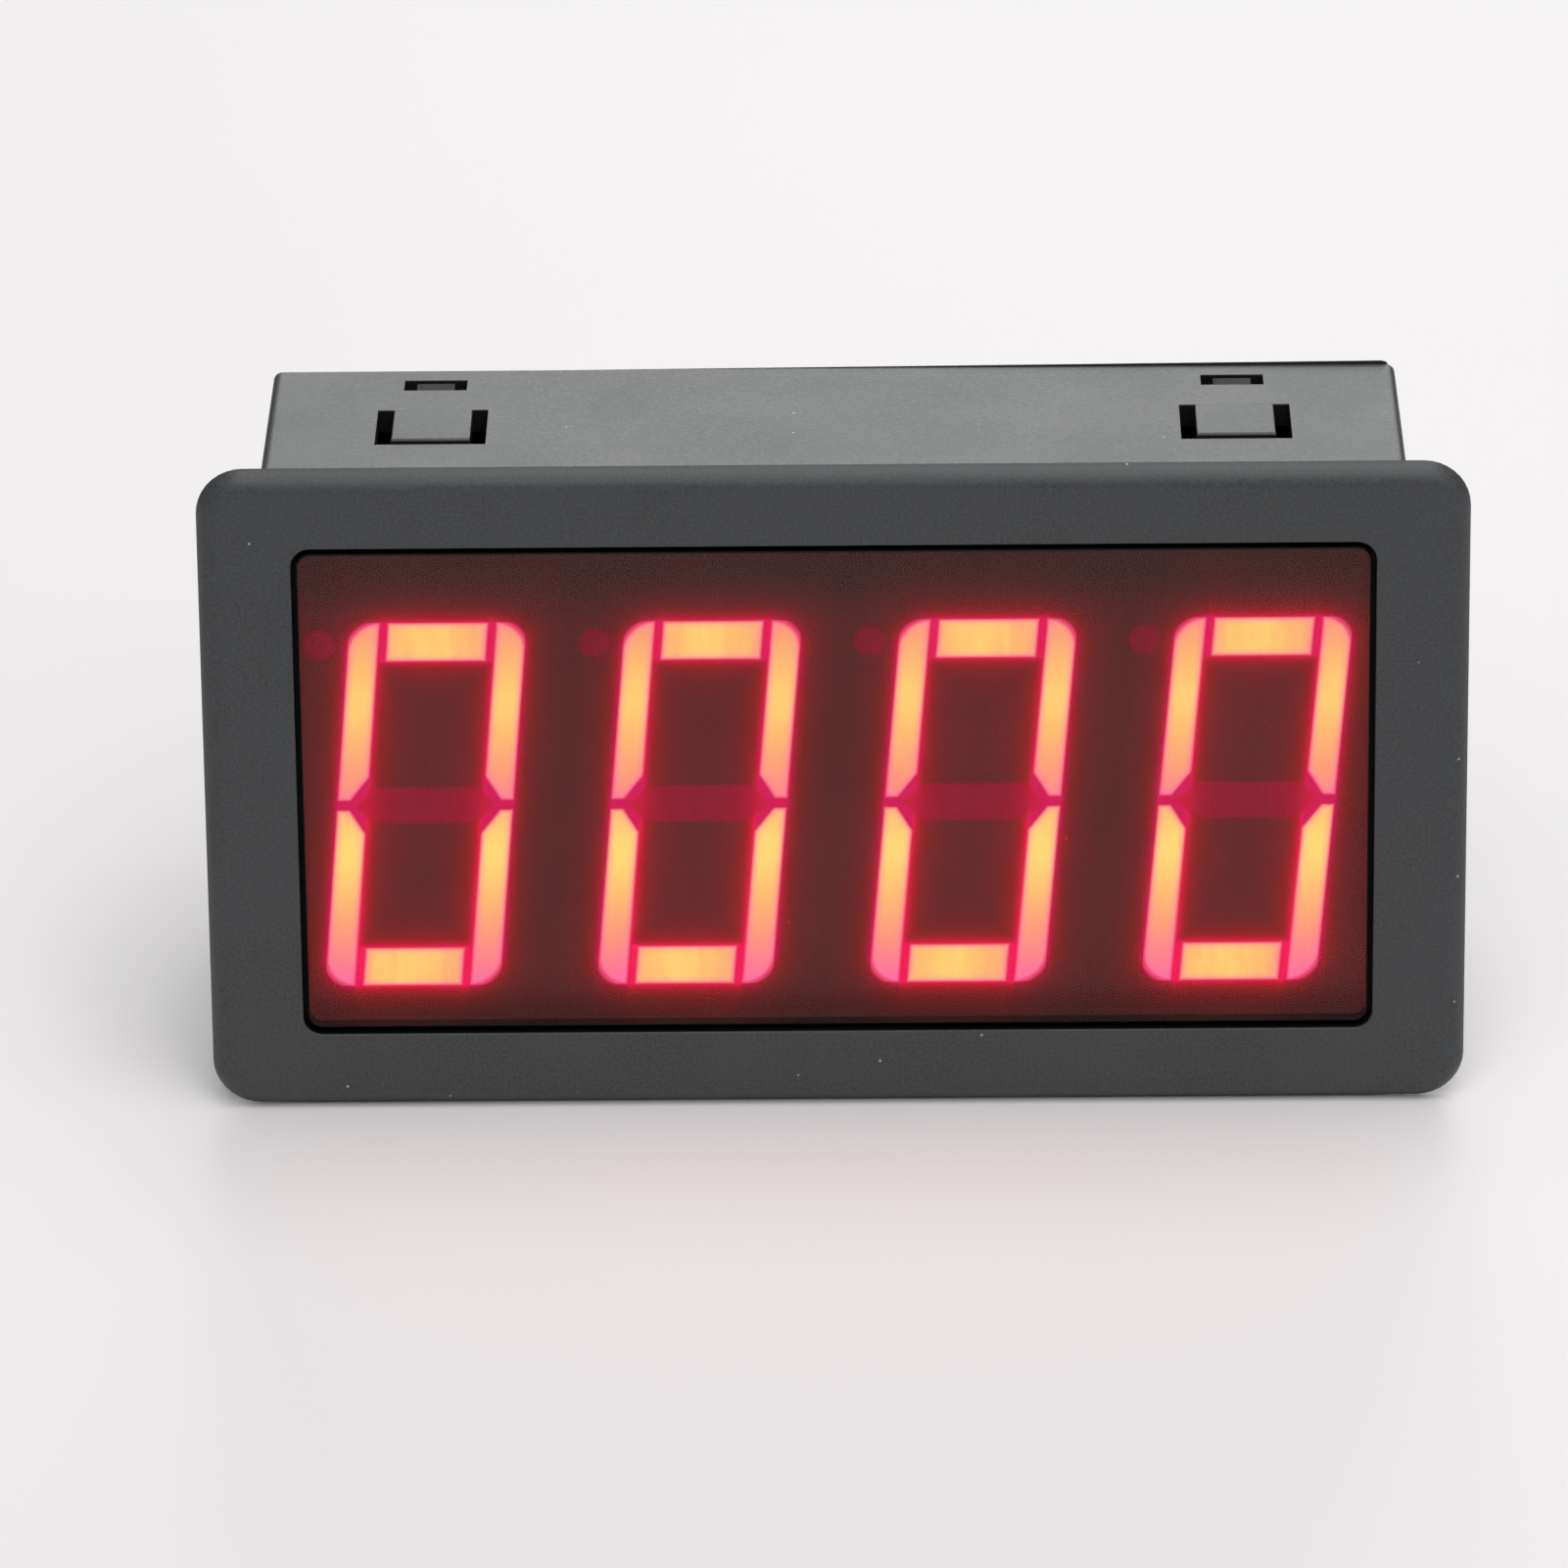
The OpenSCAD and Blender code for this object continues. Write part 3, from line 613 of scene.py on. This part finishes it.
def red_acrylic():
    """Dark red, clear enough to show the digits, glossy, with a trace of dust.

    The sides, the step and the rim are painted black and opaque: painted shade for the dark gap
    round the pane, and nothing shows through. What is less than round_r from a box whose sides lie
    pane_corner inside the pane's is clear. A slanting line of sight leaves the rear face further
    out, so from clear_from back the clear part is clear_margin wider.
    """
    finish = Finish("red acrylic", IOR=1.33)
    x, y, z = finish.axes(finish.place())
    round_r = (pane_corner - pane_edge) / mm
    straight_x, straight_z = (pane_half - pane_corner) / mm
    wider = (y > clear_from) * clear_margin
    inside = beyond(abs(x) - straight_x, abs(z) - straight_z) - round_r < wider
    haze = finish.noise(14 * mm, 3.0)
    dust = finish.specks(1.1 * mm, 0.06 * mm, 0.03)
    tint = finish.mix(finish.spread(haze, 0.3, 0.7), *pane_tones)
    tint = finish.mix(dust * 0.5, tint, red_dust)
    # Painted shade: outside the clear part the pane is black and opaque.
    finish.give(Base_Color=finish.mix(inside, painted_gap_shade, tint))
    finish.give(Roughness=0.12 + haze * 0.08 + dust * 0.3 + (1 - inside) * 0.4)
    finish.give(Alpha=1 - inside * (1 - pane_share - dust * 0.1))
    return finish


red_acrylic().paint(pane)
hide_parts("filter_window")
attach(pane, "case")

# ---------------------------------------------------------------------------
# Digits.
# Each stroke is a bar of clear epoxy cast in a slot of the dark display block and lit from behind
# by chips. It glows yellow over the chips and pink at its ends and edges. The red light round it is
# a painted glow, emitted by the display face and the unlit strokes. All sizes here are in mm.
# ---------------------------------------------------------------------------
digit_half = (5.55, 12.35)
digit_pitch = 17.25
digit_middle = -1.85
lean_slope = math.tan(math.radians(5))
upper_spot, upper_heat, upper_fall = 7.0, 0.90, 0.11
lower_spot, lower_heat, lower_fall = -3.3, 1.0, 0.12
level_spot, level_heat, level_fall = -0.5, 0.88, 0.11
stroke_w = 1.9
bar_h = 2.6
segment_gap = 0.5
waist_gap = 0.65
waist_tip = 0.8
waist_cut = 1.6
outer_corner = 1.9
far_off = 9
inner_u = digit_half[0] - stroke_w
inner_v = digit_half[1] - bar_h
glow_strength = 2.4
pane_clear = (1 - pane_share) ** 2
pane_glare = (0.026, 0.022, 0.022)
heat_tones = (
    (0.0, (0.956, 0.150, 0.392)),
    (0.2, (0.956, 0.220, 0.280)),
    (0.45, (0.956, 0.330, 0.200)),
    (0.75, (0.960, 0.510, 0.172)),
    (1.0, (0.973, 0.690, 0.190)),
)
end_tone = (0.956, 0.20, 0.38)
rim_tone = (0.84, 0.055, 0.16)
corner_tone = (0.28, 0.024, 0.035)
flaw_tone = (0.70, 0.22, 0.08)
painted_stray_tone = (1.0, 0.022, 0.075)
# Painted glow on the display face round a lit stroke: near and far strengths and lengths.
near_painted_glow, near_length = 0.40, 0.28
far_painted_glow, far_length = 0.14, 1.1


def digit_field(finish):
    """Places in the nearest digit, in mm: across, up, and distance from its strokes.

    The lean is taken out of x, and x is wrapped so that each digit has its own
    zero. The strokes are what lies inside a rounded box and outside an inner box.
    """
    x, _, z = finish.axes(finish.place())
    up = z - digit_middle
    x = x - up * lean_slope
    across = x - ((x / digit_pitch).floor() + 0.5) * digit_pitch
    out_x = abs(across) - (digit_half[0] - outer_corner)
    out_z = abs(up) - (digit_half[1] - outer_corner)
    outer = beyond(out_x, out_z) + out_x.most(out_z).least(0) - outer_corner
    in_x = abs(across) - inner_u
    in_z = abs(up) - inner_v
    inner = beyond(in_x, in_z) + in_x.most(in_z).least(0)
    return across, up, outer.most(0 - inner)


def through_pane(red, green, blue):
    """The part of full glow that gives this colour in front of the pane."""
    seen = [max(0.0, part - glare) for part, glare in zip((red, green, blue), pane_glare)]
    return tuple(part / pane_clear / glow_strength for part in seen)


def fade(distance, length):
    """Falls from 1 to 1/e over that length."""
    return (distance / -length).power(math.e)


def tent(distance):
    """Rises with distance d from 0, rounded at the foot: sqrt(d**2 + 1) - 1."""
    return (distance * distance + 1).root() - 1


def glowing_epoxy():
    """Heat runs from 0 at the pink ends to 1 at the yellow spot over the chips.

    It falls along each segment as a rounded tent. Edge is the distance in from the
    nearest side, bar end, waist or slant of a segment. Pink begins 0.6 mm in, red
    takes over in the last 0.24 mm, and past the round outer corners it falls dark.
    """
    finish = Finish("glowing epoxy", Roughness=0.3, Emission_Strength=glow_strength)
    across, up, strokes = digit_field(finish)
    fibres = finish.node("Mapping", values={"Vector": finish.place(), "Scale": (1, 1, 0.12)})
    bands = finish.noise(0.45 * mm, 2.0, fibres)
    grain = finish.noise(0.3 * mm, 2.0)
    upper = upper_heat - tent(up - upper_spot) * upper_fall
    lower = lower_heat - tent(up - lower_spot) * lower_fall
    level = level_heat - tent(across - level_spot) * level_fall
    on_top = up > 0.0
    in_bar = abs(up) > inner_v
    gap_middle = inner_u - segment_gap / 2
    bar = in_bar * (abs(across) < gap_middle)
    heat = (on_top * upper + (1 - on_top) * lower) * (1 - bar) + bar * level
    heat = heat + (bands - 0.5) * (0.1 + bar * 0.25) + (grain - 0.5) * 0.15
    bar_end = abs(abs(across) - gap_middle) - segment_gap / 2 + (1 - in_bar) * far_off
    waist = abs(up) - waist_gap / 2
    cut_w = stroke_w - waist_tip
    cut_l = math.hypot(waist_cut, cut_w)
    slant = (abs(across) - (digit_half[0] - waist_tip)) * (waist_cut / cut_l)
    slant = slant + waist * (cut_w / cut_l)
    edge = (0 - strokes).least(bar_end).least(waist).least(slant + in_bar * far_off)
    stops = [(share, through_pane(*tone)) for share, tone in heat_tones]
    glow = finish.node("ValToRGB", {"stops": stops}, {0: heat})
    pink = 1 - finish.spread(edge, 0.1, 0.6)
    colour = finish.mix(pink * 0.4, glow, through_pane(*end_tone))
    rim = 1 - finish.spread(edge, -0.05, 0.24)
    colour = finish.mix(rim, colour, through_pane(*rim_tone))
    rounded_off = 1 - finish.spread(edge, -0.3, -0.04)
    colour = finish.mix(rounded_off, colour, through_pane(*corner_tone))
    flaw = finish.specks(1.1 * mm, 0.09 * mm, 0.12)
    colour = finish.mix(flaw * 0.5, colour, through_pane(*flaw_tone))
    finish.give(Base_Color=(0.20, 0.05, 0.04), Emission_Color=colour)
    return finish


def dark_epoxy():
    """The same epoxy with its chips off, with a painted glow from its lit neighbours.

    The painted stray light, emission standing in for light from the lit strokes, is strongest
    beside a lit stroke and fades over 0.8 mm. The decimal point, outside the digit, gets less.
    """
    finish = Finish("dark epoxy", Roughness=0.3, Emission_Strength=glow_strength)
    across, _, strokes = digit_field(finish)
    # Painted glow: emission standing in for stray light from the lit strokes.
    painted_stray = 0.215 + fade(strokes.most(0), 0.8) * 0.3 + (finish.noise(0.7 * mm) - 0.5) * 0.06
    painted_stray = painted_stray * (1 - (abs(across) > digit_half[0]) * 0.3)
    colour = finish.mix(painted_stray, (0, 0, 0), through_pane(*painted_stray_tone))
    finish.give(Base_Color=(0.05, 0.012, 0.018), Emission_Color=colour)
    return finish


def display_face():
    """Black display plastic with a painted red glow round each stroke: emission standing in for the
    light that bleeds out of it.

    The painted glow at distance d is the near strength times exp(-d / near_length) plus the far
    strength times exp(-d / far_length), and it is stronger inside a digit. Painted glints are
    bright specks in it.
    """
    finish = Finish("display face", Roughness=0.5, Emission_Strength=glow_strength)
    across, up, strokes = digit_field(finish)
    away = strokes.most(0)
    cloud = finish.noise(5 * mm, 3.0)
    # Painted glints: bright specks emitted near the strokes.
    painted_glints = finish.specks(1.6 * mm, 0.17 * mm, 0.10) * fade(away, 2.5)
    painted_glints = painted_glints.most(finish.specks(0.7 * mm, 0.07 * mm, 0.2) * fade(away, 0.8) * 0.7)
    between_strokes = abs(across) < inner_u
    # Painted glow: the whole face emits a faint red, stronger in the band of the digits and between
    # their strokes.
    base = 0.055 + (1 - finish.spread(abs(up), 11.5, 15.5)) * 0.035 + (cloud - 0.5) * 0.03
    base = base + between_strokes * (1 - finish.spread(abs(up), 8.0, 11.0)) * 0.025
    painted_glow = fade(away, near_length) * near_painted_glow + fade(away, far_length) * far_painted_glow
    red = base + painted_glow * (1 + between_strokes * ((up < 0.0) * 0.25 + 0.2)) + painted_glints * 0.45
    red = (red - pane_glare[0]).most(0)
    grey = (1 - fade(away, 0.8)) * 0.008
    blue = grey + fade(away, 0.16) * 0.08 + painted_glints * 0.02
    seen = {0: red, 1: grey, 2: blue}
    behind_pane = {part: seen[part] / pane_clear / glow_strength for part in seen}
    colour = finish.node("CombineColor", values=behind_pane)
    finish.give(Base_Color=(0.018, 0.016, 0.016), Emission_Color=colour)
    return finish


glowing = glowing_epoxy()
unlit = dark_epoxy()
for number in (1, 2, 3, 4):
    glowing.paint(nodes[f"digit_{number}_segments"])
    unlit.paint(nodes[f"digit_{number}_blanks"])
display_face().paint(nodes["display_shell"])

# ---------------------------------------------------------------------------
# Boards.
# Glass-fibre laminate under green solder mask. Fine tracks run across it, and
# the copper shows as paler lines where the mask is thin.
# ---------------------------------------------------------------------------
mask_tone = (0.008, 0.055, 0.024)
track_tone = (0.022, 0.115, 0.045)
track_step = 1.27
wander_scale = 180.0


def circuit_board():
    """Green mask over wandering tracks, one every track_step mm in x and in z.

    A track runs where the fraction of (place / step + wander) is close to a half,
    on the patches of the board where the wander is above its middle.
    """
    finish = Finish("green solder mask", Roughness=0.35, Coat_Weight=0.3)
    x, _, z = finish.axes(finish.place())
    wander = finish.node("TexNoise", values={"Vector": finish.place(), "Scale": wander_scale})
    line_x = abs((x / track_step + wander * 1.5).fraction() - 0.5)
    line_z = abs((z / track_step + wander * 1.2).fraction() - 0.5)
    tracks = finish.spread(line_x.least(line_z), 0.16, 0.10) * (wander > 0.5)
    colour = finish.mix(tracks, mask_tone, track_tone)
    finish.give(Base_Color=colour)
    finish.bump(tracks, 0.03 * mm, 0.5)
    return finish


board_finish = circuit_board()
board_finish.paint(nodes["main_board"], nodes["display_board"])

# ---------------------------------------------------------------------------
# Parts on the boards.
# Moulded epoxy chips, glazed resistors, fired ceramic, a blue relay case, an
# aluminium capacitor can, and bright tinned pins.
# ---------------------------------------------------------------------------
patch_size = 2.5 * mm
patch_tone = 0.78


def bright_metal(name, colour, roughness, brushed=0.4 * mm):
    """Drawn or plated metal with fine scratches along x and dull patches."""
    finish = Finish(name, Metallic=1.0)
    along = finish.node("Mapping", values={"Vector": finish.place(), "Scale": (0.1, 1, 1)})
    scratch = finish.noise(brushed, 4.0, along)
    patch = finish.noise(patch_size, 2.0)
    colour = np.array(colour)
    finish.give(Base_Color=finish.mix(patch, colour * patch_tone, colour))
    finish.give(Roughness=roughness + (scratch - 0.5) * 0.25 + patch * 0.12)
    finish.bump(scratch, 0.004 * mm, 0.4)
    return finish


tinned = bright_metal("tin plate", (0.72, 0.72, 0.70), 0.22)
tinned.paint(nodes["display_pins"], nodes["header_pins"], nodes["crystal"])
chip_epoxy = textured_plastic("chip epoxy", (0.020, 0.020, 0.021), 0.10 * mm, 0.5)
chip_parts = ("microcontroller", "display_driver", "digit_transistors", "relay_diode", "regulator")
chip_epoxy.paint(*[nodes[part] for part in chip_parts])
glaze = textured_plastic("resistor glaze", (0.030, 0.030, 0.034), 0.3 * mm, 0.2)
glaze.paint(nodes["resistors"])
ceramic = textured_plastic("fired ceramic", (0.42, 0.29, 0.17), 0.2 * mm, 0.45)
ceramic.paint(nodes["ceramic_capacitors"])
relay_case = textured_plastic("relay case", (0.018, 0.075, 0.30), 0.3 * mm, 0.25)
relay_case.paint(nodes["relay"])
can = bright_metal("aluminium can", (0.68, 0.69, 0.70), 0.28, 0.2 * mm)
can.paint(nodes["smoothing_capacitors"])
chip_gold = bright_metal("light chip", (0.80, 0.62, 0.22), 0.3)
chip_gold.paint(nodes["led_chips"])

# ---------------------------------------------------------------------------
# Rear cover.
# A black lid that snaps into the case. Its hooks catch in the latch windows,
# and it has slots over the relay, sound holes, and holes for the buttons.
# ---------------------------------------------------------------------------
cover_edge = 0.05 * mm
flat_turn = math.radians(0.5)


def softened(node, width, name, cutters=()):
    """A merged copy of a CAD piece, cut, with its hard edges rounded to that width.

    The copy sheds the node's custom properties, since it is a piece of its own.
    """
    piece = nodes[node].copy()
    piece.data = nodes[node].data.copy()
    piece.parent = None
    piece.name = name
    for key in list(piece.keys()):
        del piece[key]
    bpy.context.scene.collection.objects.link(piece)
    shape = bmesh.new()
    shape.from_mesh(piece.data)
    bmesh.ops.remove_doubles(shape, verts=shape.verts, dist=sliver)
    bmesh.ops.dissolve_limit(shape, angle_limit=flat_turn, verts=shape.verts, edges=shape.edges)
    shape.to_mesh(piece.data)
    shape.free()
    cut_away(piece, cutters)
    finish_edges(piece, width)
    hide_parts(node)
    return piece


cover = softened("rear_cover", cover_edge, "cover_moulding")
cover_plastic = textured_plastic(
    "black ABS", (0.013, 0.013, 0.014), grain_size, 0.5, dust=0.04, grit=0.5
)
cover_plastic.paint(cover, nodes["buzzer"], nodes["button_switches"])
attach(cover, "case")

# ---------------------------------------------------------------------------
# Buttons.
# Pale nylon stems of the three setting switches, with a domed end that stands
# just proud of the cover.
# ---------------------------------------------------------------------------
button_edge = 0.35 * mm
button_dome = 0.12 * mm
nylon = textured_plastic(
    "pale nylon", (0.50, 0.49, 0.45), grain_size, 0.38, mottle=0.04, grit=0.05
)


def circle_ring(centre, radius, depth, count=40):
    """Points round a circle in x and z, at one depth."""
    turn = np.linspace(0, 2 * math.pi, count, endpoint=False)
    x = centre[0] + radius * np.cos(turn)
    z = centre[1] + radius * np.sin(turn)
    return np.stack([x, np.full_like(x, depth), z], axis=-1)


for setting in ("set", "up", "down"):
    low, high = (np.array(corner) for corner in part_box(f"button_{setting}"))
    middle = ((low[0] + high[0]) / 2, (low[2] + high[2]) / 2)
    stem_r = (high[0] - low[0]) / 2
    rings = [circle_ring(middle, stem_r, low[1])]
    rings.append(circle_ring(middle, stem_r, high[1] - button_edge - button_dome))
    for angle in np.linspace(0.2, math.pi / 2, 6):
        inset = button_edge * (1 - math.cos(angle))
        rise = button_edge * (math.sin(angle) - 1) - button_dome
        rings.append(circle_ring(middle, stem_r - inset, high[1] + rise))
    for share in (0.75, 0.5, 0.25, 0.02):
        radius = (stem_r - button_edge) * share
        rings.append(circle_ring(middle, radius, high[1] - button_dome * share**2))
    stem = lofted(f"stem_{setting}", rings)
    finish_edges(stem)
    nylon.paint(stem)
    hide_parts(f"button_{setting}")
    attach(stem, f"{setting}_button")

# ---------------------------------------------------------------------------
# Terminal block.
# Green nylon: a header soldered to the board, and a plug that pulls straight
# out of it, with a shallow groove between its ways. Plated screws lift brass
# cages that clamp the wires.
# ---------------------------------------------------------------------------
way_count = 5
way_pitch = 5.08 * mm
groove_half = 0.2 * mm
groove_deep = 0.25 * mm
groove_back = 8.0 * mm
plug_low, plug_high = (np.array(corner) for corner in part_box("terminal_plug"))
plug_middle = (plug_low[0] + plug_high[0]) / 2
grooves = []
for number in range(1, way_count):
    x = plug_middle + (number - way_count / 2) * way_pitch
    near, far = x - groove_half, x + groove_half
    above, behind = plug_high[2] + mm, plug_high[1] + mm
    grooves.append(
        block((near, plug_high[1] - groove_deep, plug_low[2] - mm), (far, behind, above))
    )
    grooves.append(
        block((near, plug_high[1] - groove_back, plug_high[2] - groove_deep), (far, behind, above))
    )
green_nylon = textured_plastic(
    "green nylon", (0.022, 0.19, 0.050), 0.25 * mm, 0.4, mottle=0.06, grit=0.1
)
header = softened("terminal_header", 0.1 * mm, "header_moulding")
green_nylon.paint(header)
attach(header, "case")
plug = softened("terminal_plug", 0.12 * mm, "plug_moulding", grooves)
green_nylon.paint(plug)
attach(plug, "plug")
brass = bright_metal("tinned brass", (0.78, 0.66, 0.38), 0.3)
cages = [nodes[f"clamp_cage_{way}"] for way in range(1, way_count + 1)]
brass.paint(nodes["plug_contacts"], *cages)
zinc = bright_metal("zinc plate", (0.70, 0.71, 0.72), 0.27)
for way in range(1, way_count + 1):
    screw = softened(f"terminal_screw_{way}", 0.08 * mm, f"clamp_screw_{way}")
    zinc.paint(screw)
    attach(screw, f"screw_{way}")
